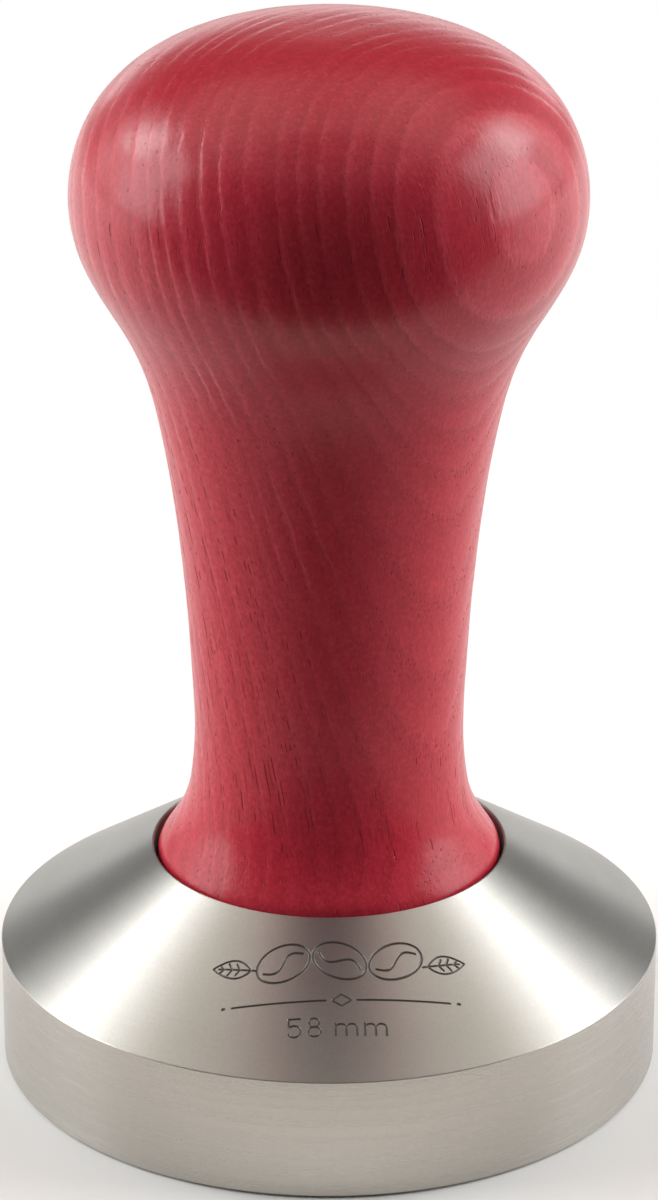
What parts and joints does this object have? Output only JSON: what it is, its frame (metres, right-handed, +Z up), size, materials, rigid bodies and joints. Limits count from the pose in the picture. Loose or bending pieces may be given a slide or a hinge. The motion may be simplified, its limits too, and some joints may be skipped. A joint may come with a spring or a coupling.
{
  "type": "espresso tamper",
  "caption": "Hand tamper for packing ground coffee: flat stainless steel base with a conical top, on a turned red-stained wooden handle that unscrews.",
  "frame": {"origin": "centre of the flat tamping face, which the tamper stands on", "axes": "+Z up the handle's axis, which is also the thread's axis; +X and +Y in the plane of the tamping face"},
  "size_m": [0.058, 0.058, 0.0934],
  "materials": {
    "stainless_steel": "fine-turned, brushed",
    "stained_wood": "red stain under satin lacquer, open pores",
    "brass": "as machined",
    "zinc_plated_steel": "satin",
    "black_rubber": "matt"
  },
  "bodies": {
    "base": {"tamping_base": "stainless_steel"},
    "washer": {"seal_washer": "black_rubber"},
    "handle": {"handle": "stained_wood", "threaded_insert": "brass", "threaded_stud": "zinc_plated_steel"}
  },
  "joints": [
    {"name": "unscrew", "type": "hinge", "parent": "base", "child": "washer", "pos_m": [0, 0, 0.0172], "axis": [0, 0, 1], "range_deg": [0, 2700]},
    {"name": "thread_rise", "type": "slide", "parent": "washer", "child": "handle", "axis": [0, 0, 1], "range_m": [0, 0.00937]}
  ],
  "couplings": [
    {"joint": "unscrew", "follows": "thread_rise", "rad_per_m": 5026.5}
  ]
}
